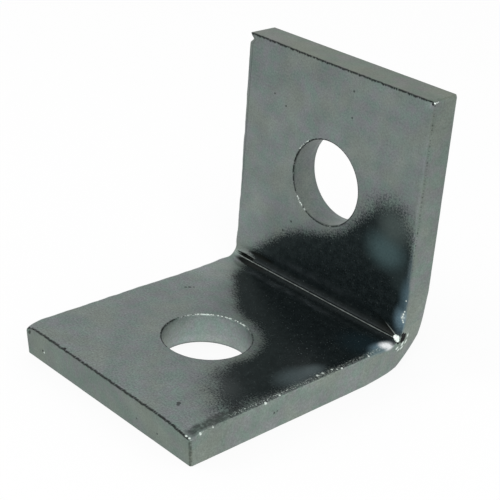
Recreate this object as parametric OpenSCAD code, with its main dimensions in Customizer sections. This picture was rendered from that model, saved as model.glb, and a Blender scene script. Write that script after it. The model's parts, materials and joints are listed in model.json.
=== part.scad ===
// Corner bracket folded from one length of zinc-plated strip steel, with one punched bolt hole in each leg.
// It stands on its foot. X runs across the strip, Y from the foot's cut end to the back, and Z up.
// The origin is on the ground, under the middle of the foot's length and width.

/* [Strip] */
// Width of the strip
strip_w = 41.3; // [30:0.1:60]
// Thickness of the strip
strip_t = 5.6; // [4.6:0.1:8]
// Radius rolled on the long edges of the inner faces when the strip was slit
edge_r = 0.8; // [0.3:0.05:1.2]
// Radius of the four corners where a cut end meets a side
corner_r = 0.7; // [0.2:0.1:2]

/* [Legs] */
// Length of the foot along the ground, with the upright's thickness
foot_len = 52; // [45:0.5:90]
// Height of the upright's inner face above the ground
upright_h = 47.8; // [42:0.1:90]
// How far the foot's sheared end steps back between its top edge and the ground
foot_end_lean = 0.6; // [0.1:0.05:1]
// How much higher the upright's sheared end is at the back than at its inner face
upright_end_rise = 0.25; // [0.05:0.05:0.6]

/* [Holes] */
// Diameter of both punched holes, on their straight land
hole_d = 14.8; // [8:0.1:18]
// Distance from the top edge of the foot's cut end to the middle of its hole
foot_hole_from_end = 21.5; // [16:0.5:26]
// Distance from the upright's inner top edge down to the middle of its hole
upright_hole_from_end = 20.75; // [16:0.25:24]
// Radius rolled over the rim where the punch entered
rim_roll_r = 0.3; // [0.1:0.05:0.5]
// Length of the straight land that the punch burnished
hole_land = 3.6; // [1.5:0.1:3.9]
// How much wider the hole breaks out at the outer face, on its diameter
break_out = 0.8; // [0.2:0.1:1.5]

/* [Bend] */
// Inside radius of the bend
bend_in_r = 2; // [1.2:0.1:4]
// Outside radius of the bend, which is blunt because the strip thins there
bend_out_r = 8.6; // [7:0.1:12]
// How far each side draws in on the outside of the bend
side_pinch = 0.8; // [0.2:0.1:1.5]
// Distance from the outside of the bend inwards over which the drawn-in sides fade out
pinch_reach = 6.5; // [4:0.5:10]

/* [Crease] */
// How much larger than the inside radius the nose of the bending punch is
nose_extra_r = 0.2; // [0.1:0.05:0.3]
// Depth to which the nose marks both inner faces
nose_depth = 0.15; // [0.1:0.01:0.3]
// Plain strip left between each end of the nose mark and the side
nose_margin = 1.3; // [0.9:0.1:5]
// Length over which each end of the nose mark runs out
nose_run_out = 3; // [1:0.5:8]
// Width of the fold line along the middle of the nose mark
fold_line_w = 0.6; // [0.3:0.05:1]
// Depth of the fold line below the nose mark
fold_line_depth = 0.3; // [0.1:0.05:0.6]
// Length of the split at the left end of the fold line
split_len = 2.9; // [1:0.1:8]
// Width of that split
split_w = 0.4; // [0.2:0.05:0.6]
// Depth of that split below the nose mark
split_depth = 0.7; // [0.65:0.05:1.2]
// Distance of that split from the fold line, towards the upright
split_offset = 0.3; // [0.1:0.05:0.4]

/* [Nick] */
// Height of the V-shaped nick in the left inner edge of the upright
nick_h = 1.5; // [0.5:0.1:3]
// Depth of the nick from the side
nick_depth = 0.9; // [0.85:0.05:1.5]
// Length of the nick from the inner face towards the back
nick_len = 1.8; // [0.5:0.1:3]
// Lip left above the nick
nick_lip = 0.2; // [0.1:0.05:2]

/* [Hidden] */
$fn = 96;
zinc_grey = [0.47, 0.51, 0.5];
side_x = strip_w / 2;
front_y = -foot_len / 2;
back_y = foot_len / 2;
inner_y = back_y - strip_t;
bend_y = inner_y - bend_in_r;
bend_z = strip_t + bend_in_r;
foot_end_angle = atan(foot_end_lean / strip_t);
upright_end_angle = atan(upright_end_rise / strip_t);
nose_r = bend_in_r + nose_extra_r;
nose_y = inner_y - nose_r + nose_depth;
nose_z = strip_t + nose_r - nose_depth;
nose_half_w = side_x - nose_margin;
// A cutting tool reaches this far past the surface that it cuts
past = 1;
// The corners' arcs are this much fuller than their radius
corner_bulge = 0.003;

// What turns a square inside corner at the origin into a radius, with the faces to the left and up
module inside_fillet(r) {
    difference() {
        translate([-r, 0]) square(r);
        translate([-r, r]) circle(r);
    }
}

// What a radius takes off a square outside corner at the origin, with the material to the left and down.
// With a bulge the arc is that much fuller, so that it crosses both faces and doesn't only touch them.
module outside_round(r, bulge = 0) {
    difference() {
        translate([-r, -r]) square(r + past);
        translate([-r, -r]) circle(r + bulge);
    }
}

// Side view of the folded strip, with Y to the right and Z up
module side_view() {
    difference() {
        union() {
            polygon([
                [front_y + foot_end_lean, 0],
                [back_y, 0],
                [back_y, upright_h + upright_end_rise],
                [inner_y, upright_h],
                [inner_y, strip_t],
                [front_y, strip_t]
            ]);
            translate([inner_y, strip_t]) inside_fillet(bend_in_r);
        }
        translate([back_y, 0]) mirror([0, 1]) outside_round(bend_out_r);
    }
}

// The folded strip with plain edges
module folded_strip() {
    translate([-side_x, 0, 0]) rotate([90, 0, 90]) linear_extrude(strip_w) side_view();
}

// Roll-over of the right-hand inner long edge: along the foot, round the bend and up the upright
module long_edge_roll() {
    translate([side_x, bend_y, strip_t])
        rotate([90, 0, 0]) linear_extrude(foot_len) outside_round(edge_r);
    translate([0, bend_y, bend_z])
        rotate([0, 90, 0]) rotate_extrude(angle = 90)
            translate([bend_in_r, side_x]) mirror([1, 0]) outside_round(edge_r);
    translate([side_x, inner_y, bend_z])
        mirror([0, 1, 0]) linear_extrude(upright_h) outside_round(edge_r);
}

// Rounding of the right-hand corner of a cut end: the end lies on Y = 0 with the material beyond it
module end_corner() {
    translate([side_x, 0, -1.5 * strip_t])
        mirror([0, 1, 0]) linear_extrude(3 * strip_t) outside_round(corner_r, corner_bulge);
}

// Both legs' right-hand end corners, each set square to its sheared end
module end_corners() {
    translate([0, front_y, strip_t]) rotate([foot_end_angle, 0, 0]) end_corner();
    translate([0, inner_y, upright_h]) rotate([upright_end_angle - 90, 0, 0]) end_corner();
}

// Drawn-in right-hand side: a shallow curve that runs square to the bisector of the bend
module drawn_in_side() {
    curve_r = (pinch_reach * pinch_reach + side_pinch * side_pinch) / (2 * side_pinch);
    from_corner = bend_out_r * (sqrt(2) - 1) + pinch_reach;
    translate([0, back_y, 0]) rotate([135, 0, 0]) linear_extrude(4 * from_corner, center = true) {
        difference() {
            translate([side_x - 3 * side_pinch, 0]) square([3 * side_pinch + past, from_corner]);
            translate([side_x - curve_r, from_corner]) circle(curve_r);
        }
    }
}

// Punched hole, entered at Z = 0 and broken out at Z = strip_t
module punched_hole() {
    hole_r = hole_d / 2;
    exit_r = hole_r + break_out / 2;
    land_end = rim_roll_r + hole_land;
    rotate_extrude() {
        translate([0, -past]) square([hole_r, strip_t + 2 * past]);
        translate([hole_r, 0]) mirror([1, 0]) mirror([0, 1]) outside_round(rim_roll_r);
        polygon([
            [0, land_end],
            [hole_r, land_end],
            [exit_r, strip_t],
            [exit_r, strip_t + past],
            [0, strip_t + past]
        ]);
    }
}

// Mark of the punch's nose along the inside of the bend, running out at both ends
module nose_mark() {
    end_r = nose_r - 2 * nose_depth;
    full_half_w = nose_half_w - nose_run_out;
    translate([0, nose_y, nose_z]) rotate([0, 90, 0]) rotate_extrude()
        polygon([
            [0, -nose_half_w],
            [end_r, -nose_half_w],
            [nose_r, -full_half_w],
            [nose_r, full_half_w],
            [end_r, nose_half_w],
            [0, nose_half_w]
        ]);
}

// Fold line pressed into the middle of the nose mark, and the split where the metal gave at its left end
module fold_line() {
    translate([0, nose_y, nose_z]) rotate([0, 90, 0]) rotate([0, 0, 45]) {
        linear_extrude(2 * nose_half_w, center = true)
            polygon([
                [nose_r + fold_line_depth, 0],
                [nose_r - fold_line_depth, fold_line_w],
                [nose_r - fold_line_depth, -fold_line_w]
            ]);
        translate([nose_r - past, split_offset - split_w / 2, -nose_half_w])
            cube([past + split_depth, split_w, split_len]);
    }
}

// Nick in the left inner edge, just under the upright's cut end
module edge_nick() {
    translate([-side_x, inner_y + nick_len, upright_h - nick_lip])
        rotate([90, 0, 0]) linear_extrude(nick_len + past)
            polygon([[-past, 0], [0, 0], [nick_depth, -nick_h / 2], [0, -nick_h], [-past, -nick_h]]);
}

module angle_bracket() {
    color(zinc_grey) difference() {
        folded_strip();
        for (side = [0, 1]) mirror([side, 0, 0]) {
            long_edge_roll();
            end_corners();
            drawn_in_side();
        }
        translate([0, front_y + foot_hole_from_end, strip_t]) rotate([180, 0, 0]) punched_hole();
        translate([0, inner_y, upright_h - upright_hole_from_end]) rotate([-90, 0, 0]) punched_hole();
        nose_mark();
        fold_line();
        edge_nick();
    }
}

angle_bracket();
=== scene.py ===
"""Looks of the angle bracket: its plated strip as one dense mesh over the CAD form, in a plain studio."""

import json
import math

import bpy
import numpy as np
from mathutils import Matrix, Vector


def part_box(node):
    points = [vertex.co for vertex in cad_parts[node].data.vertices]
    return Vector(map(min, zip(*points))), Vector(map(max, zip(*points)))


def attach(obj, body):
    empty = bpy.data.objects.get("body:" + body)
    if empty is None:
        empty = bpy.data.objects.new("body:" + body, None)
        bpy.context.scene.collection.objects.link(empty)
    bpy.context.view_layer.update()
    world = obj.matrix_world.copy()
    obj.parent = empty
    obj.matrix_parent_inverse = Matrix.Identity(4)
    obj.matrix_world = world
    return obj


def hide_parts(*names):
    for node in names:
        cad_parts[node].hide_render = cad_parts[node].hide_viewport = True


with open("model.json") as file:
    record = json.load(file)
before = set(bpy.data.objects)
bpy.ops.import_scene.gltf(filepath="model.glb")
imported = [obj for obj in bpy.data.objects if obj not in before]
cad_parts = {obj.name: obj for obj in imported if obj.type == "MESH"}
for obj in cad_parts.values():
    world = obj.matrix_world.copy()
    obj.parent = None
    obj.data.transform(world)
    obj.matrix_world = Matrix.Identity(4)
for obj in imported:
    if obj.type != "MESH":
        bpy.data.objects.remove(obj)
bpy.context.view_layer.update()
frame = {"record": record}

# Sizes of the strip are in millimetres, like the CAD's, and MM turns them into Blender's metres
MM = 0.001
NODE = "angle_bracket"
mounts = {mount["name"]: mount for mount in frame["record"]["mounts"]}
low, high = (np.array(corner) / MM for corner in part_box(NODE))
strip_w = high[0] - low[0]
strip_t = mounts["foot_top"]["pos_m"][2] / MM
front_y, back_y, top_z = low[1], high[1], high[2]
inner_y = back_y - strip_t
side_x = strip_w / 2

# The sheared ends' slants, as in the CAD
foot_end_lean = 0.6
upright_end_rise = 0.25
upright_h = top_z - upright_end_rise

# The bend, as in the CAD
bend_in_r = 2.0
bend_out_r = 8.6
side_pinch = 0.8
pinch_reach = 6.5
# How far the outside of the bend goes from a plain arc towards the three flats that the press left
bend_out_blunt = 0.45

# The mark of the punch's nose, with its fold line, a little finer than in the CAD, and its split,
# a little longer
nose_r = bend_in_r + 0.2
nose_depth = 0.15
nose_y = inner_y - nose_r + nose_depth
nose_z = strip_t + nose_r - nose_depth
nose_half_w = side_x - 1.3
nose_run_out = 3.0
nose_end_r = nose_r - 2 * nose_depth
nose_edge_soft = 0.09
fold_line_w = 0.5
fold_line_depth = 0.25
split_len = 3.9
split_w = 0.42
split_depth = 0.7
split_offset = 0.42

# The holes, from the CAD's mounts, with its rolled rims and its break-out
hole_r = mounts["foot_hole"]["dims"]["r_mm"]
hole_land = mounts["foot_hole"]["dims"]["length_mm"]
rim_roll_r = 0.3
break_out = 0.4
exit_r = hole_r + break_out

# The strip in the flat: u across it, s along its inner face from the foot's cut end,
# and t from that face outwards
bend_arc = bend_in_r * math.pi / 2
foot_s = inner_y - bend_in_r - front_y
upright_s = foot_s + bend_arc
bend_s = (foot_s + upright_s) / 2
length = upright_s + upright_h - strip_t - bend_in_r
foot_hole_s = mounts["foot_hole"]["pos_m"][1] / MM - front_y
upright_hole_s = upright_s + mounts["upright_hole"]["pos_m"][2] / MM - strip_t - bend_in_r
# Half the side of the square round each hole that the mesh fills with rings
hole_block = 9.6


def smooth(value, start, end):
    """0 before start, 1 after end, and an even curve between them. End may be less than start."""
    x = np.clip((value - start) / (end - start), 0, 1)
    return x * x * (3 - 2 * x)


def noise(points, size, seed):
    """Smooth noise from -1 to 1 at these points, with features of about that size."""
    cells = 64
    lattice = np.random.default_rng(seed).uniform(-1, 1, (cells, cells, cells))
    scaled = points / size
    cell = np.floor(scaled).astype(int)
    share = scaled - cell
    share = share * share * (3 - 2 * share)
    total = np.zeros(len(points))
    for corner in np.ndindex(2, 2, 2):
        weight = np.where(corner, share, 1 - share).prod(axis=1)
        total += weight * lattice[tuple(((cell + corner) % cells).T)]
    return total


def stations(*zones):
    """Places of mesh lines through zones, each given by its start, its end and the spacing there."""
    runs = [np.linspace(a, b, max(1, round((b - a) / step)), endpoint=False) for a, b, step in zones]
    return np.append(np.concatenate(runs), zones[-1][1])


def strip_lines():
    """Mesh lines across, along and through the strip, close together at its edges and in the bend."""
    coarse = 0.5
    # How far the zones with closer lines reach from the sides, the cut ends and the bend, and their spacing
    edge, edge_step = 1.08, 0.12
    near, near_step = 3.0, 0.24
    cut, cut_step = 0.6, 0.06
    by_cut, by_cut_step = 2.4, 0.2
    crease, crease_step = 1.2, 0.07
    by_crease, by_crease_step = 2.8, 0.16
    across = stations(
        (-side_x, -side_x + edge, edge_step),
        (-side_x + edge, -side_x + near, near_step),
        (-side_x + near, -hole_block, coarse),
        (-hole_block, hole_block, coarse),
        (hole_block, side_x - near, coarse),
        (side_x - near, side_x - edge, near_step),
        (side_x - edge, side_x, edge_step),
    )
    along = stations(
        (0, cut, cut_step),
        (cut, by_cut, by_cut_step),
        (by_cut, foot_hole_s - hole_block, coarse),
        (foot_hole_s - hole_block, foot_hole_s + hole_block, coarse),
        (foot_hole_s + hole_block, foot_s - by_crease, coarse),
        (foot_s - by_crease, foot_s - crease, by_crease_step),
        (foot_s - crease, upright_s + crease, crease_step),
        (upright_s + crease, upright_s + by_crease, by_crease_step),
        (upright_s + by_crease, upright_hole_s - hole_block, coarse),
        (upright_hole_s - hole_block, upright_hole_s + hole_block, coarse),
        (upright_hole_s + hole_block, length - by_cut, coarse),
        (length - by_cut, length - cut, by_cut_step),
        (length - cut, length, cut_step),
    )
    through = stations((0, 1, 0.125), (1, 3.5, 0.25), (3.5, 5, 0.5), (5, strip_t, 0.12))
    return across, along, through


def near_line(lines, place):
    """Number of the mesh line that lies nearest to a place."""
    return int(np.argmin(abs(lines - place)))


def hole_profile():
    """(radius, depth) of the rings down a punched hole: rolled rim, straight land, break-out cone."""
    roll = [
        (hole_r + rim_roll_r * (1 - math.sin(a)), rim_roll_r * (1 - math.cos(a)))
        for a in np.radians(np.arange(18, 91, 18))
    ]
    land_end = rim_roll_r + hole_land
    land = [(hole_r, depth) for depth in np.linspace(rim_roll_r, land_end, 9)[1:]]
    cone = [
        (hole_r + (exit_r - hole_r) * share, land_end + (strip_t - land_end) * share)
        for share in np.linspace(0, 1, 7)[1:-1]
    ]
    return roll + land + cone


def strip_skin():
    """The skin of the strip in the flat: its points (u, s, t), their ways into the metal, and its quads."""
    across, along, through = strip_lines()
    number = np.zeros((len(across), len(along), len(through)), int)
    number[[0, -1]] = 1
    number[:, [0, -1]] = 1
    number[:, :, [0, -1]] = 1
    blocks = []
    for hole_s in (foot_hole_s, upright_hole_s):
        left, right = (near_line(across, x) for x in (-hole_block, hole_block))
        start, end = (near_line(along, hole_s + x) for x in (-hole_block, hole_block))
        number[left + 1:right, start + 1:end] = 0
        blocks.append((hole_s, left, right, start, end))
    i, j, k = np.nonzero(number)
    number[number == 0] = -1
    number[i, j, k] = np.arange(len(i))
    points = [np.stack([across[i], along[j], through[k]], axis=1)]
    into = np.stack(
        [
            np.where(i == 0, 1, 0) - np.where(i == len(across) - 1, 1, 0),
            np.where(j == 0, 1, 0) - np.where(j == len(along) - 1, 1, 0),
            np.where(k == 0, 1, 0) - np.where(k == len(through) - 1, 1, 0),
        ],
        axis=1,
    ).astype(float)
    into = [into / np.linalg.norm(into, axis=1)[:, None]]
    quads = []

    def add_quads(ids):
        corners = np.stack([ids[:-1, :-1], ids[1:, :-1], ids[1:, 1:], ids[:-1, 1:]], axis=-1).reshape(-1, 4)
        quads.append(corners[(corners >= 0).all(axis=1)])

    for sheet in (
        number[:, :, 0], number[:, :, -1], number[0], number[-1], number[:, 0], number[:, -1],
    ):
        add_quads(sheet)

    # How far each ring on the inner and the outer face lies from the square towards the hole
    inner_shares = (0.14, 0.28, 0.42, 0.56, 0.69, 0.8, 0.89, 0.95, 1)
    outer_shares = (1, 0.93, 0.8, 0.65, 0.48, 0.32, 0.16)
    made = len(points[0])
    for hole_s, left, right, start, end in blocks:
        loop = (
            [(a, start) for a in range(left, right)]
            + [(right, b) for b in range(start, end)]
            + [(a, end) for a in range(right, left, -1)]
            + [(left, b) for b in range(end, start, -1)]
        )
        a, b = np.array(loop).T
        square = np.stack([across[a], along[b] - hole_s], axis=1)
        turn = square / np.linalg.norm(square, axis=1)[:, None]
        rings = []
        for share in inner_shares:
            rings.append((square * (1 - share) + turn * (hole_r + rim_roll_r) * share, 0.0, (0, 0, 1)))
        for radius, depth in hole_profile():
            rings.append((turn * radius, depth, None))
        for share in outer_shares:
            rings.append((square * (1 - share) + turn * exit_r * share, strip_t, (0, 0, -1)))
        ids = [number[a, b, 0]]
        for place, depth, way in rings:
            flat = np.column_stack([place[:, 0], place[:, 1] + hole_s, np.full(len(place), depth)])
            points.append(flat)
            outwards = np.column_stack([turn, np.zeros(len(turn))])
            into.append(outwards if way is None else np.tile(np.array(way, float), (len(place), 1)))
            ids.append(np.arange(made, made + len(place)))
            made += len(place)
        ids.append(number[a, b, -1])
        ids = np.array(ids)
        add_quads(np.concatenate([ids, ids[:, :1]], axis=1))
    return np.concatenate(points), np.concatenate(into), np.concatenate(quads)


# Radii of the inner long edges: the right one on the foot, at the bottom of the upright and how much more
# it is 12 mm higher, and the left one at places along the strip
right_foot_r = 0.5
right_low_r = 0.6
right_more_r = 0.3
right_more_s = 12
left_places = (0, 4, 24, 33, 42, 62, 78, length)
left_radii = (0.5, 0.6, 0.85, 1.2, 1.0, 0.85, 0.5, 0.35)
# How much the radii waver along the edges, in long and in short waves
long_waver = 0.1
short_waver = 0.06
# Shares by which the right and the left edge are sharper in the bend
right_sharper = 0.6
left_sharper = 0.3
# Radius of the outer long edges, and of the corners at the right-hand side of both cut ends
outer_edge_r = 0.14
right_corner_r = 0.55
# Each cut end: whether it is the foot's, and the radii of its left corner, its inner edge and its outer edge
cut_ends = ((True, 0.12, 0.16, 0.08), (False, 0.4, 0.14, 0.06))


def round_off(first, second, radius):
    """Rounds the edge between two faces, given the points' distances from both into the metal.

    Each point has its own radius.
    """
    x, y = radius - first, radius - second
    inside = (x > 0) & (y > 0)
    far = np.hypot(x, y)
    scale = np.where(inside, np.maximum(x, y) / np.where(far > 0, far, 1), 1)
    return np.where(inside, radius - x * scale, first), np.where(inside, radius - y * scale, second)


def rounded(p):
    """The flat strip's points with its edges rounded as slitting, shearing and tumbling left them."""
    u, s, t = p.T.copy()
    lengthwise = np.column_stack([0 * s, s, 0 * s])
    wobble = long_waver * noise(lengthwise, 1.7, 11) + short_waver * noise(lengthwise, 0.6, 12)
    in_bend = smooth(s, foot_s - 3.2, foot_s - 1.2) * smooth(s, upright_s + 4, upright_s + 1)
    up_r = right_low_r + right_more_r * smooth(s, upright_s, upright_s + right_more_s)
    right_r = (np.where(s < foot_s, right_foot_r, up_r) + wobble) * (1 - right_sharper * in_bend)
    left_r = (np.interp(s, left_places, left_radii) + wobble) * (1 - left_sharper * in_bend)
    for side, inner_r in ((1, right_r), (-1, left_r)):
        beside = side_x - side * u
        beside, t = round_off(beside, t, inner_r)
        beside, rest = round_off(beside, strip_t - t, outer_edge_r + 0.2 * wobble)
        t = strip_t - rest
        u = side * (side_x - beside)

    for foot, left_corner_r, near_r, far_r in cut_ends:
        beyond = s if foot else length - s
        for side, corner_r in ((1, right_corner_r), (-1, left_corner_r)):
            beside = side_x - side * u
            beside, beyond = round_off(beside, beyond, corner_r)
            u = side * (side_x - beside)
        t, beyond = round_off(t, beyond, near_r)
        rest, beyond = round_off(strip_t - t, beyond, far_r)
        t = strip_t - rest
        s = beyond if foot else length - beyond
    return np.column_stack([u, s, t])


# Small dents in the skin: middle (u, s, t), radius and depth
dents = [
    ((-16.35, 0, 3.3), 0.45, 0.16),
    ((8.1, 0, 3.6), 0.3, 0.07),
    ((12.9, 0, 3.8), 0.4, 0.12),
    ((-8.6, 0.15, 0), 0.45, 0.22),
    ((-19.6, 0.2, 0.3), 0.6, 0.22),
    ((-18.4, 0.15, 0), 0.5, 0.16),
    ((20.1, 0.5, 0.3), 0.5, 0.14),
    ((19.9, length - 0.3, 0), 0.6, 0.3),
    ((20.4, length - 0.2, 1.4), 0.4, 0.16),
]

# The foot's worn top corner at the front left: the direction across it in u and s, how wide it is that way,
# and how far it falls
corner_way_u = 0.68
corner_way_s = 0.73
corner_worn_w = 2.5
corner_worn_h = 1.35

# The one at the front right, near the camera: its reach across and along the strip, and how far it falls
near_worn_u = 6.5
near_worn_s = 4.0
near_worn_h = 0.85

# The nick in the left inner edge, just under the upright's cut end, as in the CAD, and how far across the
# strip the mesh gives way to it
nick_s = length - 0.95
nick_half_h = 0.75
nick_depth = 0.9
nick_len = 1.8
nick_give = 2.4

# Depths of the roughness: long and short mill waves, the cut ends, the holes' walls, their torn part
# and their rims
mill_wave = 0.01
mill_ripple = 0.003
cut_rough = 0.02
wall_rough = 0.012
torn_rough = 0.03
rim_rough = 0.02
# Depth in the strip at which the shear and the punch begin to tear it, and from which it is wholly torn
tear_start = 2.2
tear_full = 3.6


def worn(p, into):
    """The points sunk into the metal by mill waves, the marks of the cuts, dents, wear and the nick."""
    u, s, t = p.T
    depth = mill_wave * (1 + noise(p, 4.5, 21)) + mill_ripple * (1 + noise(p, 1.4, 22))
    to_hole = np.minimum(np.hypot(u, s - foot_hole_s), np.hypot(u, s - upright_hole_s))
    cut_end = np.minimum(s, length - s) < 0.01
    hole_wall = (abs(into[:, 2]) < 0.5) & (to_hole < exit_r + 0.1)
    torn = smooth(t, tear_start, tear_full)
    depth += np.where(cut_end, cut_rough + cut_rough * noise(p, 0.9, 23) * torn, 0)
    # Streaks down the walls, drawn out in the punch's direction
    streaks = np.column_stack([u, s, t * 0.12])
    depth += np.where(hole_wall & (t > 0.2), wall_rough * (1 + noise(streaks, 0.5, 24)), 0)
    depth += np.where(hole_wall, torn_rough * torn * (1 + noise(p, 0.7, 25)), 0)
    rim = (to_hole < hole_r + rim_roll_r + 0.05) & (t < 0.2)
    depth += np.where(rim, rim_rough * (1 + noise(p, 0.45, 26)), 0)
    for middle, radius, deep in dents:
        depth += deep * np.exp(-((np.linalg.norm(p - middle, axis=1) / radius) ** 2))
    p = p + into * depth[:, None]
    over_corner = corner_way_u * (side_x + u) + corner_way_s * s
    from_corner = np.clip(1 - over_corner / corner_worn_w, 0, 1)
    p[:, 2] += corner_worn_h * (1 - np.sqrt(1 - from_corner ** 2)) * (1 - t / strip_t)
    from_near = np.clip(1 - np.hypot((side_x - u) / near_worn_u, s / near_worn_s), 0, 1)
    p[:, 2] += near_worn_h * from_near ** 1.5 * (1 - t / strip_t)
    notch = np.clip(1 - abs(s - nick_s) / nick_half_h, 0, 1) * np.clip(1 - (t / nick_len) ** 3, 0, 1)
    p[:, 0] += nick_depth * notch * smooth(u, nick_give - side_x, -side_x)
    return p


def bent(p):
    """Places in the bracket of flat-pattern points."""
    u, s, t = p.T
    angle = np.clip((s - foot_s) / bend_arc, 0, 1) * math.pi / 2
    along_foot = np.minimum(s, foot_s)
    up = np.maximum(s - upright_s, 0)
    # The outside of the bend starts this much before the inside, so the outer points beside it move back,
    # over this length of each leg
    shift = bend_out_r - strip_t - bend_in_r
    lead = 8.0
    before = shift * np.clip(1 - (foot_s - along_foot) / lead, 0, 1) ** 2
    after = shift * np.clip(1 - up / lead, 0, 1) ** 2
    in_y = front_y + along_foot + bend_in_r * np.sin(angle)
    in_z = strip_t + bend_in_r * (1 - np.cos(angle)) + up
    eighth = math.pi / 4
    in_eighth = abs(angle - eighth * np.round(angle / eighth))
    out_r = bend_out_r * (1 + bend_out_blunt * (1 / np.cos(in_eighth) - 1))
    out_y = front_y + along_foot - before + out_r * np.sin(angle)
    out_z = bend_out_r - out_r * np.cos(angle) + up + after - shift
    share = t / strip_t
    y = in_y + (out_y - in_y) * share
    z = in_z + (out_z - in_z) * share
    # The cut ends' slants fade out over this length, and the upright's inner left rises by this share of
    # what its back does
    cut_lead = 2.4
    left_share = 0.85
    y += foot_end_lean * share * np.clip(1 - s / cut_lead, 0, 1)
    rise = share + (1 - share) * left_share * smooth(u, 0, -side_x)
    z += upright_end_rise * rise * np.clip(1 - (length - s) / cut_lead, 0, 1)
    return np.column_stack([u, y, z])


def drawn_in(place, p):
    """The bracket's points with its sides drawn in outside the bend.

    A rough patch beside the crease is left standing. The left side leans in towards the outer face, and
    less and less so up the upright.
    """
    patch_t, patch_half_s, patch_half_t, patch_rough = 1.9, 1.1, 1.5, 0.05
    left_lean = 0.2
    fade = 5
    x, y, z = place.T.copy()
    u, s, t = p.T
    from_corner = bend_out_r * (math.sqrt(2) - 1) + pinch_reach
    share = np.clip(from_corner - (back_y - y + z) / math.sqrt(2), 0, pinch_reach) / pinch_reach
    pinch = side_pinch * (0.6 * share + 0.4 * share ** 2) * smooth(share, 0, 0.2)
    patch = np.exp(-(((s - bend_s) / patch_half_s) ** 2) - ((t - patch_t) / patch_half_t) ** 2)
    pinch = pinch * (1 - 0.9 * patch) + patch_rough * patch * (1 + noise(place, 0.5, 31))
    lean = left_lean * t / strip_t * (u < 0) * smooth(s, upright_s + 20, foot_s)
    x -= np.sign(x) * (pinch + lean) * smooth(abs(u), side_x - fade, side_x)
    return np.column_stack([x, y, z])


def pressed(place, inner):
    """The bracket's points with the nose mark, its fold line and its split pressed into the bend."""
    # Lengths over which the fold line and the split fade out at their ends, and how far beyond the nose's
    # arc, and along it to each side of its middle, the points move
    line_fade = 0.15
    split_fade = 0.3
    moved_beyond = 0.6
    moved_along = 3.5
    x, y, z = place.T.copy()
    out_y, out_z = y - nose_y, z - nose_z
    far = np.hypot(out_y, out_z)
    middle = nose_r * (np.arctan2(out_z, out_y) + math.pi / 4)
    run_out = np.clip((abs(x) - nose_half_w + nose_run_out) / nose_run_out, 0, 1)
    reach = nose_r + (nose_end_r - nose_r) * run_out
    inside = smooth(abs(x), nose_half_w, nose_half_w - line_fade)
    groove = fold_line_depth * np.clip(1 - abs(middle) / (fold_line_w / 2), 0, 1)
    from_split = abs(middle - split_offset)
    at_split = smooth(from_split, split_w / 2 + 0.05, split_w / 2 - 0.08)
    at_split = at_split * smooth(x, split_len - nose_half_w, split_len - nose_half_w - split_fade)
    reach = reach + np.maximum(groove, split_depth * at_split) * inside
    near_mark = inner & (abs(x) < nose_half_w) & (far < reach + moved_beyond) & (abs(middle) < moved_along)
    blended = (far + reach + np.sqrt((far - reach) ** 2 + nose_edge_soft ** 2)) / 2
    scale = np.where(near_mark, blended / np.where(far > 0, far, 1), 1)
    return np.column_stack([x, nose_y + out_y * scale, nose_z + out_z * scale])


# Where the plating is glossy and painted with a dark reflection: its outline (u, s) on the inner face
glossy_outline = [
    (-16.6, 45.9), (-15.2, 48.6), (-13.8, 49.9), (-10.8, 52.6), (-7.6, 54.9), (-4, 56.5), (0, 57.5),
    (3.2, 58.8), (5.6, 60.6), (8.4, 63.4), (10.8, 66.6), (13.2, 68.4), (15.6, 68.9), (17.9, 67.8),
    (19.9, 65), (21.2, 60), (21.2, 50), (20.8, 46), (20.6, 40), (20.1, 30), (20, 16), (19.8, 9.5),
    (17.8, 8), (13, 10.5), (9.2, 15.5), (8.3, 20.2), (7.1, 24.9), (4, 29.3), (-1.7, 30.9), (-4.9, 32.4),
    (-7.6, 34.5), (-10.5, 37), (-13.4, 39.4), (-14.8, 41.6), (-15.6, 43.6),
]


def inside_distance(points, outline):
    """How far points are inside a closed outline, negative where they are outside it."""
    corners = np.array(outline, float)
    nearest = np.full(len(points), np.inf)
    inside = np.zeros(len(points), bool)
    for a, b in zip(corners, np.roll(corners, -1, axis=0)):
        edge = b - a
        share = np.clip((points - a) @ edge / (edge @ edge), 0, 1)
        nearest = np.minimum(nearest, np.linalg.norm(points - a - share[:, None] * edge, axis=1))
        crosses = (a[1] > points[:, 1]) != (b[1] > points[:, 1])
        rise = edge[1] if edge[1] else 1
        inside ^= crosses & (points[:, 0] < a[0] + (points[:, 1] - a[1]) * edge[0] / rise)
    return np.where(inside, nearest, -nearest)


def glossiness(p, inner):
    """How far inside the glossy zone each point is: negative outside it, and small where it fades slowly."""
    u, s, _ = p.T
    furthest = 6
    distance = inside_distance(p[:, :2], glossy_outline)
    # A matte ring stays round each hole, this wide
    for hole_s, halo in ((foot_hole_s, 1.7), (upright_hole_s, 1.3)):
        distance = np.minimum(distance, np.hypot(u, s - hole_s) - hole_r - halo)
    fade = 1 - 0.6 * smooth(s, 24, 12) - 0.5 * smooth(s, 59, 68)
    return np.where(inner, np.clip(distance * fade, -furthest, furthest), -furthest)


# Painted light on the sides: their tones at places along the strip. Tints of the sides, of both cut ends and
# of the edge that stands at the near corner; those of the cut ends and the edge are darker
side_places = (0, 20, 42, 54, 66, length)
side_painted_light = (1.23, 1.33, 1.3, 1.24, 1.1, 1.0)
side_tint = (1, 1.01, 0.97)
foot_end_tint = (0.94, 0.98, 0.93)
top_end_tint = (0.87, 0.87, 0.79)
near_edge_tint = (0.86, 0.85, 0.83)


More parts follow.
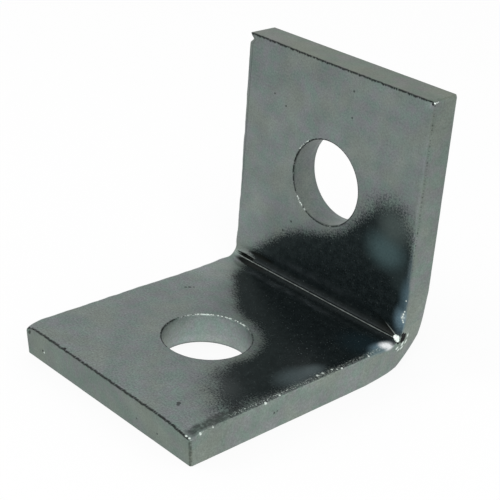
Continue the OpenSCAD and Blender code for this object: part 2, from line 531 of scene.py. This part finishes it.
def shade(p, into):
    """Mostly painted light and shade: how much each point is lighter or darker than the plating's mean, in
    RGB.
    """
    u, s, t = p.T
    # Painted light and shade: the upright is lighter towards its right, and darker at its top
    upright = 1.08 + 0.004 * u + 0.05 * smooth(s, foot_s, upright_s + 6) - 0.12 * smooth(s, 72, 86)
    # Painted light: the foot is lighter towards the bend and at its near corner, and both legs are at the
    # left of the bend
    near_corner = smooth(s, 16, 6) * smooth(u, -6, 8)
    foot = 1 + 0.12 * smooth(s, 30, 44) + 0.08 * near_corner
    face = np.where(s < foot_s, foot, upright)
    face = face * (1 + 0.1 * smooth(u, -11, -16) * smooth(abs(s - bend_s), 18, 9))
    tone = np.tile(face[:, None], (1, 3))
    # Painted light on the sides, and the cut ends darker
    beside = (abs(into[:, 0]) > 0.5) & (abs(u) > side_x - 0.01)
    tone[beside] = np.interp(s, side_places, side_painted_light)[beside, None] * side_tint
    foot_end = (s < 0.01) & (t > 0.05)
    tone[foot_end] = (1 + 0.05 * smooth(u, 0, side_x))[foot_end, None] * foot_end_tint
    tone[(s > length - 0.01) & (t > 0.05)] = top_end_tint
    # Painted light and shade on the holes' walls: level, how much darker to the right and how much lighter
    # away from the cut end
    for hole_s, level, lean, swing in ((foot_hole_s, 1.0, -0.52, 0.42), (upright_hole_s, 0.92, 0, 0)):
        far = np.hypot(u, s - hole_s)
        wall = (far < exit_r + 0.05) & (t > 0.05) & (t < strip_t - 0.05)
        tone[wall] = (level + (lean * u + swing * (s - hole_s)) / hole_r)[wall, None]
    near_edge = (u > side_x - 0.4) & (s < 0.4) & (t > 0.3)
    tone[near_edge] *= near_edge_tint
    return tone


def strip():
    """The whole plated strip as one closed mesh."""
    flat, into, quads = strip_skin()
    inner = into[:, 2] > 0.5
    shaped = worn(rounded(flat), into)
    place = pressed(drawn_in(bent(shaped), shaped), flat[:, 2] == 0)
    mesh = bpy.data.meshes.new("plated_strip")
    mesh.from_pydata((place * MM).tolist(), [], quads.tolist())
    # Clouds and grain follow the flat strip, but on the outer face and at the sides of the bend, which the
    # fold stretches, they follow the real place
    on_outer = flat[:, 2] > strip_t - 0.01
    beside_bend = (abs(flat[:, 0]) > side_x - 0.01) & (abs(flat[:, 1] - bend_s) < 1.6)
    skin = np.where((on_outer | beside_bend)[:, None], place, flat)
    for name, kind, values in (
        ("flat", "FLOAT_VECTOR", flat),
        ("skin", "FLOAT_VECTOR", skin),
        ("gloss", "FLOAT", glossiness(flat, inner)),
        ("shade", "FLOAT_VECTOR", shade(flat, into)),
    ):
        field = "vector" if kind == "FLOAT_VECTOR" else "value"
        mesh.attributes.new(name, kind, "POINT").data.foreach_set(field, values.astype(np.float32).ravel())
    piece = bpy.data.objects.new("plated_strip", mesh)
    bpy.context.scene.collection.objects.link(piece)
    bpy.context.view_layer.objects.active = piece
    piece.select_set(True)
    bpy.ops.object.mode_set(mode="EDIT")
    bpy.ops.mesh.select_all(action="SELECT")
    bpy.ops.mesh.normals_make_consistent(inside=False)
    bpy.ops.object.mode_set(mode="OBJECT")
    mesh.shade_smooth()
    return piece


class Graph:
    """Short calls that build a material's nodes."""

    def __init__(self, name):
        self.material = bpy.data.materials.new(name)
        self.material.use_nodes = True
        self.tree = self.material.node_tree
        self.shader = self.tree.nodes["Principled BSDF"]

    def node(self, kind, **settings):
        made = self.tree.nodes.new(kind)
        for key, value in settings.items():
            setattr(made, key, value)
        return made

    def put(self, socket, value):
        if isinstance(value, bpy.types.NodeSocket):
            self.tree.links.new(value, socket)
        else:
            socket.default_value = value

    def math(self, operation, *values, clamp=False):
        made = self.node("ShaderNodeMath", operation=operation, use_clamp=clamp)
        for socket, value in zip(made.inputs, values):
            self.put(socket, value)
        return made.outputs[0]

    def attribute(self, name, output="Fac"):
        return self.node("ShaderNodeAttribute", attribute_name=name).outputs[output]

    def noise(self, vector, size, detail=2.0, rough=0.5):
        """Noise from 0 to 1 with features of about that size."""
        made = self.node("ShaderNodeTexNoise")
        self.put(made.inputs["Vector"], vector)
        self.put(made.inputs["Scale"], 1 / size)
        self.put(made.inputs["Detail"], detail)
        self.put(made.inputs["Roughness"], rough)
        return made.outputs[0]

    def stretch(self, vector, factors):
        made = self.node("ShaderNodeVectorMath", operation="MULTIPLY")
        self.put(made.inputs[0], vector)
        self.put(made.inputs[1], factors)
        return made.outputs[0]

    def step(self, value, start, end):
        """0 at start, 1 at end, even between them."""
        made = self.node("ShaderNodeMapRange", interpolation_type="SMOOTHSTEP")
        self.put(made.inputs["Value"], value)
        self.put(made.inputs["From Min"], start)
        self.put(made.inputs["From Max"], end)
        return made.outputs["Result"]

    def mix(self, share, a, b):
        made = self.node("ShaderNodeMix", data_type="RGBA")
        self.put(made.inputs["Factor"], share)
        for socket, value in (("A", a), ("B", b)):
            if not isinstance(value, bpy.types.NodeSocket):
                value = (*value, 1)
            self.put([i for i in made.inputs if i.name == socket and i.type == "RGBA"][0], value)
        return [o for o in made.outputs if o.type == "RGBA"][0]

    def times(self, colour, factor):
        made = self.node("ShaderNodeVectorMath", operation="MULTIPLY")
        self.put(made.inputs[0], colour)
        self.put(made.inputs[1], factor)
        return made.outputs[0]

    def product(self, *values):
        total = values[0]
        for value in values[1:]:
            total = self.math("MULTIPLY", total, value)
        return total

    def most(self, *values):
        total = values[0]
        for value in values[1:]:
            total = self.math("MAXIMUM", total, value)
        return total

    def parts(self, vector):
        made = self.node("ShaderNodeSeparateXYZ")
        self.put(made.inputs[0], vector)
        return made.outputs[0], made.outputs[1], made.outputs[2]

    def polar(self, place, middle_s):
        """Distance from a hole's middle, and angle there from its right towards the upright's top."""
        u, s, _ = self.parts(place)
        up = self.math("SUBTRACT", s, middle_s)
        far = self.math("SQRT", self.math("ADD", self.math("MULTIPLY", u, u), self.math("MULTIPLY", up, up)))
        angle = self.math("ARCTAN2", up, u)
        whole = self.math("ADD", angle, self.math("MULTIPLY", self.math("LESS_THAN", angle, 0.0), math.tau))
        return far, whole

    def band(self, value, middle, half, soft):
        """1 within half of middle, and 0 from soft further out."""
        away = self.math("ABSOLUTE", self.math("SUBTRACT", value, middle))
        return self.step(away, half + soft, half)

    def spot(self, place, middle, radius, soft):
        """1 within radius of middle, and 0 from soft further out."""
        made = self.node("ShaderNodeVectorMath", operation="DISTANCE")
        self.put(made.inputs[0], place)
        self.put(made.inputs[1], middle)
        return self.step(made.outputs["Value"], radius + soft, radius)


# Colours of the plating in linear light: the mottled greys, the painted dark reflection in the glossy zone,
# with its painted ledge light and flecks, the dark marks and painted shade, and the painted highlights
green_grey = (0.162, 0.21, 0.192)
violet_grey = (0.186, 0.2, 0.206)
warm_grey = (0.188, 0.216, 0.196)
speck_grey = (0.07, 0.085, 0.085)
deep_black = (0.009, 0.0145, 0.0155)
cloud_black = (0.017, 0.0245, 0.0255)
crease_shade_black = (0.004, 0.006, 0.006)
ledge_light_grey = (0.054, 0.066, 0.071)
fleck_grey = (0.12, 0.14, 0.14)
mark_and_shade_black = (0.006, 0.008, 0.007)
highlight_white = (0.74, 0.82, 0.77)


def matte_grey(g, skin, s, t):
    """Passivated zinc: green-grey with violet and warm clouds, fine grain and a few dark specks."""
    grey = g.mix(g.step(g.noise(skin, 2.6, 4, 0.6), 0.38, 0.62), green_grey, violet_grey)
    grey = g.mix(g.step(g.noise(skin, 6.5, 3), 0.42, 0.68), grey, warm_grey)
    clouds = g.math("MULTIPLY_ADD", g.noise(skin, 4.4, 4, 0.6), 0.5, 0.75)
    # The grain is stronger on the foot's top
    on_foot = g.product(g.step(s, foot_s, foot_s - 6), g.step(t, 0.5, 0.1))
    contrast = g.math("MULTIPLY_ADD", on_foot, 0.8, 1.3)
    grain = g.math("SUBTRACT", g.noise(skin, 0.34, 4, 0.85), 0.5)
    grain = g.math("ADD", g.math("MULTIPLY", grain, contrast), 1.0)
    grey = g.times(grey, g.math("MULTIPLY", clouds, grain))
    dark_specks = g.step(g.noise(skin, 0.55, 2, 0.5), 0.73, 0.8)
    return g.mix(g.math("MULTIPLY", dark_specks, 0.55), grey, speck_grey)


# Painted soft lights and clouds in the dark reflection: middle (u, s), size along u and along s, colour
# and strength
painted_soft_lights = [
    ((15.0, 60.2), (6.2, 4.6), (0.068, 0.112, 0.117), 1.0),
    ((16.3, 65.0), (5.5, 4.6), (0.08, 0.105, 0.1), 0.8),
    ((19.0, 56.0), (3.5, 3.5), (0.03, 0.045, 0.046), 0.7),
    ((13.6, 12.5), (5.0, 5.0), (0.035, 0.043, 0.043), 0.7),
    ((17.7, 24.0), (3.6, 5.5), (0.07, 0.095, 0.1), 0.75),
    ((18.2, 28.0), (2.4, 3.5), (0.08, 0.105, 0.11), 0.8),
    ((17.0, 41.0), (6.5, 5.5), (0.012, 0.025, 0.031), 0.8),
]

# Painted highlights: the glow of lamps at the ends of the bend, over the dark and the matte plating alike,
# given in the same way
lamp_highlights = [
    ((19.6, 42.4), (2.1, 3.4), (0.13, 0.2, 0.24), 1.0),
    ((20.2, 40.6), (1.3, 3.4), (0.13, 0.19, 0.2), 0.8),
    ((19.8, 43.6), (1.8, 1.8), (0.97, 0.99, 1.0), 1.1),
    ((20.0, 49.6), (2.4, 3.6), (0.12, 0.19, 0.23), 1.0),
    ((20.3, 50.3), (0.9, 1.2), (0.36, 0.44, 0.46), 0.6),
    ((20.5, 54.0), (2.2, 5.0), (0.06, 0.1, 0.118), 0.95),
    ((20.6, 59.0), (1.1, 4.2), (0.07, 0.1, 0.11), 0.7),
]


def lit(g, flat, colour, lights):
    """The colour with soft lights painted into it in grainy fades, and the lights' share in it."""
    broken = g.math("MULTIPLY_ADD", g.noise(flat, 0.4, 3, 0.8), 1.4, 0.3)
    shares = []
    # The lights reach this far round the edge, and are full in this share of their size
    round_edge = 0.8
    core = 0.12
    for (light_u, light_s), (size_u, size_s), light_colour, strength in lights:
        place = g.stretch(flat, (1 / size_u, 1 / size_s, 1 / round_edge))
        light = g.spot(place, (light_u / size_u, light_s / size_s, 0), core, 1 - core)
        shares.append(g.math("MULTIPLY", g.product(light, strength, broken), 1.0, clamp=True))
        colour = g.mix(shares[-1], colour, light_colour)
    return colour, g.most(*shares)


def painted_dark_reflection(g, flat, u, s):
    """Bright-dipped zinc, painted with a dark reflection: near black, flecks, ledge light and soft lights."""
    dark = g.mix(g.step(g.noise(flat, 1.3, 4, 0.6), 0.38, 0.66), deep_black, cloud_black)
    dark = g.times(dark, g.math("MULTIPLY_ADD", g.noise(flat, 0.3, 3, 0.8), 3.6, -0.75))
    # The foot is darker than the upright
    foot_level = 0.73
    on_upright = g.step(s, foot_s - 2, bend_s)
    dark = g.times(dark, g.math("MULTIPLY_ADD", on_upright, 1 - foot_level, foot_level))
    # Painted soft lights over the dark reflection
    dark, _ = lit(g, flat, dark, painted_soft_lights)
    # Painted shade: the nose mark in the crease is darker still
    nose_mark = g.band(s, bend_s, 1.0, 0.9)
    dark = g.mix(g.math("MULTIPLY", nose_mark, 0.55), dark, crease_shade_black)
    # Painted light along each side of the mark, where its ledges catch it, in patches: its middle s, the
    # place u where it ends, and its strength
    patchy = g.step(g.noise(g.stretch(flat, (0.4, 0.6, 1)), 1.1, 3, 0.6), 0.25, 0.75)
    for ledge_s, end_u, share in ((foot_s - 0.8, 6, 0.8), (upright_s + 1.3, 8, 0.45)):
        ledge_light = g.product(g.band(s, ledge_s, 0.2, 1.1), patchy, g.step(u, end_u + 5, end_u - 5))
        dark = g.mix(g.math("MULTIPLY", ledge_light, share), dark, ledge_light_grey)
    flecks = g.step(g.noise(flat, 0.32, 2, 0.5), 0.66, 0.72)
    return g.mix(g.math("MULTIPLY", flecks, 0.6), dark, fleck_grey)


# Dark specks: middle (u, s, t) and radius
specks = [
    ((-15.3, 30.0, 0), 0.18), ((-14.9, 30.6, 0), 0.22), ((-14.5, 31.2, 0), 0.12), ((12.8, 4.6, 0), 0.28),
    ((13.1, 4.2, 0), 0.2), ((-10.6, 77.5, 0), 0.12), ((4.3, 84.6, 0), 0.12), ((4.5, 80.1, 0), 0.1),
    ((-13.5, 78.9, 0), 0.1), ((-6.9, 57.2, 0), 0.14), ((-8.7, 54.8, 0), 0.14), ((-16.3, 0, 3.3), 0.16),
    ((12.9, 0, 3.8), 0.1), ((8.1, 0, 3.6), 0.07), ((-19.8, 0.1, 0.9), 0.3), ((20.4, 0.3, 0.3), 0.2),
    ((side_x, 17.3, 2.6), 0.12), ((side_x, 17.9, 2.5), 0.08), ((-8.6, 0.2, 0), 0.2),
    ((-19.2, 0.3, 0.2), 0.25), ((-18.2, 0.2, 0), 0.18), ((4.6, 0.2, 0), 0.14),
]

# Black ragged pits, their shade painted in, given in the same way
pits = [
    ((side_x, 46.5, 0.9), 0.4), ((20.5, 46.9, 0.4), 0.2), ((side_x, 45.7, 0.35), 0.12),
    ((20.3, 87.3, 0), 0.1), ((-10.3, 0.45, 0), 0.06),
]

# Black lenses at the left end of the nose mark, the split among them, their recesses' shade painted in:
# middle (u, s), half length and half width
lenses = [
    ((-17.1, bend_s + split_offset), 2.5, 0.42),
    ((-15.4, bend_s - 0.5), 4.2, 0.7),
    ((-13.6, bend_s + 1.5), 3.6, 0.5),
]


def second_line(g, u, s):
    """Distance above the short line that runs into the fold line at the right end of the bend."""
    slope = 0.4
    s_at_middle = 54.36
    return g.math("SUBTRACT", g.math("MULTIPLY_ADD", u, slope, s), s_at_middle)


def marks_and_shade(g, flat, u, s, t):
    """How dark the marks and painted shade are, from the lines along the cut ends to the smallest speck."""
    lines = []
    # A wandering line along the inner edge of each cut end, wider on the foot
    across = g.stretch(flat, (1, 0, 0))
    wander = g.math("MULTIPLY_ADD", g.noise(across, 0.9, 4, 0.8), 1.3, -0.65)
    breaks = g.step(g.noise(across, 0.45, 3, 0.8), 0.3, 0.5)
    between_sides = g.product(g.band(u, 0, side_x - 0.45, 0.15), g.step(t, 1.2, 0.9))
    for from_end, half_w in ((s, 0.19), (g.math("SUBTRACT", length, s), 0.14)):
        into_face = g.math("SUBTRACT", g.math("SUBTRACT", from_end, t), wander)
        lines.append(g.product(g.band(into_face, 0.05, half_w, 0.22), breaks, between_sides, 0.9))
    # A dark patchy band along the foot's right edge, and the edge that stands at its near corner
    swayed = g.math("ADD", u, g.math("MULTIPLY_ADD", g.noise(flat, 1.6, 4, 0.7), 2.4, -1.2))
    dark_edge_band = g.product(g.band(swayed, side_x - 1.1, 0.4, 0.9), g.step(s, 0.2, 1.5), g.step(s, 18, 7))
    patchy = g.step(g.noise(flat, 0.8, 4, 0.7), 0.2, 0.55)
    lines.append(g.product(dark_edge_band, patchy, g.step(t, 0.5, 0.2), 0.68))
    corner = g.spot(g.stretch(flat, (1, 1, 0)), (side_x, 0, 0), 0.15, 0.5)
    lines.append(g.product(corner, g.step(g.noise(flat, 0.5, 3, 0.7), 0.35, 0.6), 0.5))
    # A faint line up the upright's left edge, and a dashed one up its right side
    left_line = g.product(g.band(u, 0.85 - side_x, 0.03, 0.16), g.step(s, upright_s + 9, upright_s + 14))
    lines.append(g.product(left_line, g.step(t, 0.2, 0.1), 0.3))
    dashes = g.step(g.noise(g.stretch(flat, (0, 1, 0)), 0.45, 2, 0.8), 0.5, 0.6)
    side_line = g.product(g.band(t, 0.4, 0.08, 0.16), g.step(u, side_x - 0.2, side_x - 0.1))
    lines.append(g.product(side_line, dashes, g.step(s, upright_s + 8, upright_s + 14), 0.6))
    # The holes' rims, the specks, and the pits and the lenses, whose shade is painted in
    for hole_s in (foot_hole_s, upright_hole_s):
        far, _ = g.polar(flat, hole_s)
        rim = g.product(g.band(far, hole_r + 0.17, 0.07, 0.12), g.step(t, 0.35, 0.2))
        lines.append(g.product(rim, g.step(g.noise(flat, 0.6, 3, 0.7), 0.36, 0.5), 0.85))
    for middle, radius in specks:
        lines.append(g.math("MULTIPLY", g.spot(flat, middle, radius, 0.14), 0.7))
    ragged = g.noise(flat, 0.35, 3, 0.8)
    for middle, radius in pits:
        lines.append(g.step(g.math("ADD", g.spot(flat, middle, radius, 0.4), ragged), 0.95, 1.15))
    for (lens_u, lens_s), half_len, half_w in lenses:
        squeeze = half_w / half_len
        squeezed = g.stretch(flat, (squeeze, 1, 1))
        lines.append(g.spot(squeezed, (lens_u * squeeze, lens_s, 0), half_w * 0.6, half_w * 0.5))
    # The shadow between the fold line and the short line
    wedge = g.product(g.step(s, bend_s + 0.12, bend_s + 0.3), g.step(second_line(g, u, s), 0.05, -0.15))
    lines.append(g.product(wedge, g.step(u, 13.5, 17.5), g.step(u, 19.8, 19.4), g.step(t, 0.3, 0.1)))
    return g.most(*lines)


# Painted highlight spots: middle (u, s, t) and radius
painted_glints = [
    ((19.7, 46.25, 0), 0.3), ((20.1, 46.15, 0.05), 0.42), ((20.4, 45.85, 0.1), 0.24),
    ((side_x, 45.3, 1.2), 0.12), ((side_x, 46.0, 1.6), 0.14), ((side_x, 45.75, 2.1), 0.1),
    ((side_x, 46.3, 2.2), 0.1), ((side_x, 46.8, 1.9), 0.08), ((side_x, 45.4, 1.8), 0.06),
    ((-15.95, 0, 3.45), 0.08),
    ((20.6, 15.3, 0.1), 0.18), ((20.3, 18.5, 0), 0.12), ((19.7, 27.4, 0), 0.15), ((19.7, 28.6, 0), 0.12),
    ((20.4, 32.3, 0), 0.14), ((20.4, 38.7, 0), 0.12), ((20.1, 50.0, 0), 0.1), ((20.5, 49.3, 0), 0.08),
    ((20.3, 50.7, 0), 0.1), ((20.5, 51.2, 0), 0.07), ((20.2, 50.3, 0), 0.06), ((20.5, 50.1, 0.1), 0.06),
    ((20.5, 53.2, 0), 0.06), ((20.3, 49.6, 0), 0.06), ((19.8, 30.6, 0), 0.12), ((20.2, 31.4, 0), 0.09),
    ((20.1, 0.4, 0.1), 0.14), ((19.5, 0.3, 0), 0.1), ((20.5, 2.2, 0.2), 0.16), ((20.5, 4.6, 0.2), 0.12),
    ((side_x, 87.4, 0.4), 0.06), ((side_x, 87.5, 0.8), 0.04), ((side_x, 87.5, 1.2), 0.03),
]

# Painted highlights in arcs on the holes' rims: middle of the hole, direction from its right towards the
# upright's top, and spread to each side, in degrees
rim_arcs = [(foot_hole_s, 122, 50), (upright_hole_s, 137, 14), (upright_hole_s, 226, 13)]


def painted_highlights(g, flat, u, s, t):
    """How strong the painted highlights are on the fold line, rims, foot's right edge and single spots."""
    # The fold line, a short one beside the split and the one that runs into it at the right
    on_face = g.step(t, 0.2, 0.1)
    on_strip = g.product(g.step(u, side_x - 1.1, side_x - 1.3), g.step(u, -18.6, -17.8), on_face)
    uneven = g.math("MULTIPLY_ADD", g.noise(g.stretch(flat, (1, 0.2, 0.2)), 0.8, 3, 0.7), 1.4, -0.2)
    lines = [g.product(g.band(s, bend_s + 0.04, 0.02, 0.09), on_strip, uneven, 0.42)]
    split_ends = g.product(g.step(u, -17.4, -16.6), g.step(u, -14.6, -15.4))
    lines.append(g.product(g.band(s, bend_s + 0.7, 0.02, 0.1), split_ends, on_face, 0.2))
    short_ends = g.product(g.step(u, 16.4, 17.8), g.step(u, 20, 19.6))
    lines.append(g.product(g.band(second_line(g, u, s), 0, 0.02, 0.1), short_ends, on_face, 0.3))
    for hole_s, turn, spread in rim_arcs:
        far, angle = g.polar(flat, hole_s)
        arc = g.band(angle, math.radians(turn), math.radians(spread * 0.7), math.radians(spread * 0.5))
        broken = g.step(g.noise(flat, 0.42, 3, 0.7), 0.44, 0.58)
        lines.append(g.product(g.band(far, hole_r + 0.22, 0.08, 0.1), arc, broken, g.step(t, 0.3, 0.2)))
    # Painted highlights glittering along the foot's right edge, and the painted spots
    edge = g.product(g.band(u, side_x - 0.7, 0.2, 0.3), g.step(t, 0.25, 0.1))
    glitter = g.step(g.noise(flat, 0.3, 3, 0.7), 0.54, 0.62)
    along = g.product(g.step(s, 7, 10), g.step(s, 44, 42))
    lines.append(g.product(edge, glitter, along, 0.7))
    for middle, radius in painted_glints:
        broken_up = g.step(g.noise(flat, 0.25, 2), 0.28, 0.42)
        lines.append(g.product(g.spot(flat, middle, radius, 0.16), broken_up))
    return g.most(*lines)


# How metallic and how rough the matte plating and the glossy plating with its painted dark reflection are,
# and how strong their mirror light is
matte_metal = 1.0
dark_metal = 0.35
matte_rough = 0.5
dark_rough = 0.26
mirror_light = 0.12
# The plating's fine bumps: their strength, height and width
bump_strength = 0.3
bump_h = 0.02
bump_w = 0.25


def zinc():
    """Zinc plating: matte and mottled, glossy and painted dark in the bend, with the marks of its making."""
    g = Graph("zinc_plate")
    flat = g.attribute("flat", "Vector")
    skin = g.attribute("skin", "Vector")
    u, s, t = g.parts(flat)
    # The grey carries each face's painted light and shade
    grey = g.times(matte_grey(g, skin, s, t), g.attribute("shade", "Vector"))

    # Grains and lobes break up the edge of the dark zone, by this many millimetres in all
    grain_reach = 6.5
    lobe_reach = 1.5
    grains = g.math("SUBTRACT", g.noise(flat, 0.36, 4, 0.85), 0.5)
    lobes = g.math("SUBTRACT", g.noise(flat, 2.6, 3), 0.5)
    inside = g.math("ADD", g.attribute("gloss"), g.math("MULTIPLY", grains, grain_reach))
    inside = g.math("ADD", inside, g.math("MULTIPLY", lobes, lobe_reach))
    dark_share = g.step(inside, -1.2, 1.0)
    # Inside the glossy zone, a painted reflection of dark surroundings
    colour = g.mix(dark_share, grey, painted_dark_reflection(g, flat, u, s))
    # Painted lamp highlights
    colour, highlight_share = lit(g, flat, colour, lamp_highlights)
    # Dark marks and painted shade
    colour = g.mix(marks_and_shade(g, flat, u, s, t), colour, mark_and_shade_black)
    # Painted highlights
    colour = g.mix(painted_highlights(g, flat, u, s, t), colour, highlight_white)

    g.put(g.shader.inputs["Base Color"], colour)
    # The painted lamp highlights aren't metallic
    metal = g.math("MULTIPLY_ADD", dark_share, dark_metal - matte_metal, matte_metal)
    g.put(g.shader.inputs["Metallic"], g.product(metal, g.math("SUBTRACT", 1.0, highlight_share)))
    g.put(g.shader.inputs["Specular IOR Level"], mirror_light)
    rough = g.math("MULTIPLY_ADD", dark_share, dark_rough - matte_rough, matte_rough)
    g.put(g.shader.inputs["Roughness"], rough)
    bump = g.node("ShaderNodeBump")
    g.put(bump.inputs["Strength"], bump_strength)
    g.put(bump.inputs["Distance"], bump_h * MM)
    g.put(bump.inputs["Height"], g.noise(skin, bump_w, 4, 0.6))
    g.put(g.shader.inputs["Normal"], bump.outputs["Normal"])
    return g.material


# The photo's camera, found from the outlines of the strip: a pinhole whose focal length is given in pixels
photo_px = 500
focal_px = 1339.4
camera_place = Vector((0.139882, -0.136229, 0.113800))
camera_aim = Vector((0.003880, 0, 0.021636))
camera_roll = math.radians(4.59)


def photo_camera():
    """The camera of the photo, which becomes the scene's."""
    data = bpy.data.cameras.new("photo_camera")
    data.sensor_fit = "HORIZONTAL"
    data.lens = focal_px / photo_px * data.sensor_width
    data.clip_start, data.clip_end = 0.01, 10
    camera = bpy.data.objects.new("photo_camera", data)
    bpy.context.scene.collection.objects.link(camera)
    turn = (camera_aim - camera_place).to_track_quat("-Z", "Y").to_matrix()
    turn = turn @ Matrix.Rotation(camera_roll, 3, "Z")
    camera.matrix_world = Matrix.Translation(camera_place) @ turn.to_4x4()
    bpy.context.scene.camera = camera


def softbox(name, place, aim, size, power):
    """A round soft lamp that points at its aim. Places and sizes are in metres, the power in watts."""
    data = bpy.data.lights.new(name, "AREA")
    data.shape = "DISK"
    data.size = size
    data.energy = power
    lamp = bpy.data.objects.new(name, data)
    bpy.context.scene.collection.objects.link(lamp)
    lamp.location = place
    lamp.rotation_euler = (Vector(aim) - Vector(place)).to_track_quat("-Z", "Y").to_euler()


def seen_white(tree, plain, white):
    """Mixes two shaders: the camera, gloss and glass see the white one, and other light the plain one."""
    paths = tree.nodes.new("ShaderNodeLightPath")
    first = tree.nodes.new("ShaderNodeMath")
    first.operation = "MAXIMUM"
    tree.links.new(paths.outputs["Is Camera Ray"], first.inputs[0])
    tree.links.new(paths.outputs["Is Glossy Ray"], first.inputs[1])
    seen = tree.nodes.new("ShaderNodeMath")
    seen.operation = "MAXIMUM"
    tree.links.new(first.outputs[0], seen.inputs[0])
    tree.links.new(paths.outputs["Is Transmission Ray"], seen.inputs[1])
    mix = tree.nodes.new("ShaderNodeMixShader")
    tree.links.new(seen.outputs[0], mix.inputs[0])
    tree.links.new(plain, mix.inputs[1])
    tree.links.new(white, mix.inputs[2])
    return mix.outputs[0]


def studio():
    """A white floor and surroundings, with soft lamps above."""
    world_light = 0.78
    floor_reach = 4.0
    floor_gap = 0.02 * MM
    floor_grey = (0.95, 0.95, 0.95, 1)
    floor_own_light = 0.88
    scene = bpy.context.scene
    scene.view_settings.view_transform = "Standard"
    world = bpy.data.worlds.new("studio")
    scene.world = world
    world.use_nodes = True
    tree = world.node_tree
    plain = tree.nodes["Background"]
    plain.inputs["Color"].default_value = (1, 1, 1, 1)
    plain.inputs["Strength"].default_value = world_light
    white = tree.nodes.new("ShaderNodeBackground")
    white.inputs["Color"].default_value = (1, 1, 1, 1)
    white.inputs["Strength"].default_value = 1.0
    surroundings = seen_white(tree, plain.outputs[0], white.outputs[0])
    tree.links.new(surroundings, tree.nodes["World Output"].inputs[0])

    mesh = bpy.data.meshes.new("floor")
    corners = [
        (x * floor_reach, y * floor_reach, -floor_gap) for x, y in ((-1, -1), (1, -1), (1, 1), (-1, 1))
    ]
    mesh.from_pydata(corners, [], [(0, 1, 2, 3)])
    floor = bpy.data.objects.new("floor", mesh)
    scene.collection.objects.link(floor)
    material = bpy.data.materials.new("floor")
    material.use_nodes = True
    tree = material.node_tree
    tree.nodes.remove(tree.nodes["Principled BSDF"])
    paper = tree.nodes.new("ShaderNodeBsdfDiffuse")
    paper.inputs["Color"].default_value = floor_grey
    glow = tree.nodes.new("ShaderNodeEmission")
    glow.inputs["Strength"].default_value = 1.0
    lit_white = tree.nodes.new("ShaderNodeMixShader")
    lit_white.inputs[0].default_value = floor_own_light
    tree.links.new(paper.outputs[0], lit_white.inputs[1])
    tree.links.new(glow.outputs[0], lit_white.inputs[2])
    output = tree.nodes["Material Output"]
    tree.links.new(seen_white(tree, paper.outputs[0], lit_white.outputs[0]), output.inputs["Surface"])
    mesh.materials.append(material)

    softbox("key", (0.35, -0.25, 0.5), (0, 0, 0.02), 0.35, 1.2)
    softbox("fill", (-0.4, -0.35, 0.35), (0, 0, 0.02), 0.3, 0.5)


photo_camera()
studio()
piece = strip()
piece.data.materials.append(zinc())
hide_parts(NODE)
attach(piece, "root")
